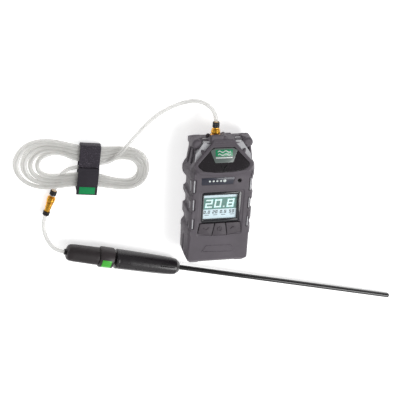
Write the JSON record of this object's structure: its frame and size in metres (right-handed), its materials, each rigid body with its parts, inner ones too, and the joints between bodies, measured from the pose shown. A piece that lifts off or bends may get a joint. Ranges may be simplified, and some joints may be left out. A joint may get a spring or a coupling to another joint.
{
  "type": "portable gas detector",
  "caption": "Hand-held multi-gas detector in a rubber-armoured case with a clear sampling line, hank strap, inline coupling and rod probe.",
  "frame": {"origin": "under the middle of the detector, on the surface it lies on, measured without the sampling line", "axes": "+Z out of the display, +Y towards the inlet end, +X to the right of the face"},
  "size_m": [0.5093, 0.3129, 0.0488],
  "materials": {
    "armour_rubber": "matte moulded rubber",
    "case_plastic": "light grey moulded plastic",
    "seal_rubber": "soft black rubber",
    "lens_dark": "dark translucent gloss",
    "badge_grey": "grey green moulding",
    "strip_blue": "navy grey film",
    "window_clear": "clear window",
    "display_glass": "lit display",
    "key_rubber": "matte rubber keys",
    "steel": "plain steel",
    "clip_steel": "sprung steel",
    "board_green": "solder mask",
    "lamp_red": "clear lamp body",
    "black_plastic": "black moulding",
    "sensor_steel": "sintered steel cap",
    "sensor_plastic": "white plastic can",
    "brass": "polished brass",
    "cell_sleeve": "heat shrink sleeve",
    "filter_white": "porous filter",
    "tube_clear": "clear flexible tube",
    "strap_fabric": "hook and loop tape",
    "patch_green": "plain woven patch",
    "grip_matte": "fine textured plastic",
    "grip_gloss": "gloss plastic",
    "label_green": "plain green label",
    "rod_black": "black rod"
  },
  "bodies": {
    "detector": {"alarm_board": "board_green", "alarm_lamps": "lamp_red", "alarm_lens": "lens_dark", "back_armour": "armour_rubber", "back_housing": "case_plastic", "badge_plate": "badge_grey", "battery_cells": "cell_sleeve", "battery_tray": "black_plastic", "belt_clip": "clip_steel", "belt_clip_screws": "steel", "button_domes": "steel", "charge_contacts": "brass", "combustible_sensor": "sensor_steel", "coupling_nuts": "black_plastic", "coupling_plug": "brass", "coupling_socket": "brass", "display_module": "display_glass", "display_window": "window_clear", "front_armour": "armour_rubber", "front_housing": "case_plastic", "hank_strap": "strap_fabric", "horn": "black_plastic", "housing_screws": "steel", "housing_seal": "seal_rubber", "infrared_sensor": "sensor_steel", "inlet_filter": "filter_white", "inlet_fitting": "brass", "inlet_nut": "black_plastic", "inlet_plug": "brass", "line_hank": "tube_clear", "line_lead": "tube_clear", "line_tail": "tube_clear", "main_board": "board_green", "name_strip": "strip_blue", "oxygen_sensor": "sensor_plastic", "probe_collar": "grip_matte", "probe_filter": "filter_white", "probe_label": "label_green", "probe_nipple": "black_plastic", "probe_rear_grip": "grip_matte", "probe_tube": "tube_clear", "pump_diaphragm": "seal_rubber", "pump_head": "black_plastic", "pump_motor": "steel", "sensor_gasket": "seal_rubber", "sensor_manifold": "black_plastic", "strap_patch": "patch_green", "toxic_sensor": "sensor_plastic", "vibration_motor": "steel"},
    "down_key": {"button_down": "key_rubber"},
    "power_key": {"button_power": "key_rubber"},
    "up_key": {"button_up": "key_rubber"},
    "pump_rotor": {"pump_eccentric": "brass"},
    "vibrator_rotor": {"vibration_weight": "brass"},
    "inlet_sleeve": {"inlet_collar": "brass"},
    "line_sleeve": {"coupling_sleeve": "brass"},
    "probe_slider": {"probe_retainer": "steel", "probe_spring": "steel"},
    "probe_front": {"probe_front_grip": "grip_gloss", "probe_rod": "rod_black"}
  },
  "joints": [
    {"name": "button_down_press", "type": "slide", "parent": "detector", "child": "down_key", "axis": [0, 0, -1], "range_m": [0, 0.0008], "stiffness_N_per_m": 1500},
    {"name": "button_power_press", "type": "slide", "parent": "detector", "child": "power_key", "axis": [0, 0, -1], "range_m": [0, 0.0008], "stiffness_N_per_m": 1500},
    {"name": "button_up_press", "type": "slide", "parent": "detector", "child": "up_key", "axis": [0, 0, -1], "range_m": [0, 0.0008], "stiffness_N_per_m": 1500},
    {"name": "pump_shaft_spin", "type": "hinge", "parent": "detector", "child": "pump_rotor", "pos_m": [0, 0.008, 0.019], "axis": [1, 0, 0], "continuous": true},
    {"name": "vibrator_spin", "type": "hinge", "parent": "detector", "child": "vibrator_rotor", "pos_m": [-0.028, 0.036, 0.015], "axis": [0, 1, 0], "continuous": true},
    {"name": "inlet_collar_slide", "type": "slide", "parent": "detector", "child": "inlet_sleeve", "axis": [0, 1, 0], "range_m": [0, 0.0018], "stiffness_N_per_m": 800},
    {"name": "coupling_sleeve_slide", "type": "slide", "parent": "detector", "child": "line_sleeve", "axis": [0.3223, 0.9466, 0], "range_m": [0, 0.002], "stiffness_N_per_m": 800},
    {"name": "probe_push", "type": "slide", "parent": "detector", "child": "probe_slider", "axis": [-0.9705, 0.2398, 0.025], "range_m": [0, 0.0025], "stiffness_N_per_m": 2000},
    {"name": "probe_twist", "type": "hinge", "parent": "probe_slider", "child": "probe_front", "pos_m": [-0.10215, -0.09098, 0.0126], "axis": [0.9705, -0.2398, -0.025], "range_deg": [0, 60]}
  ]
}
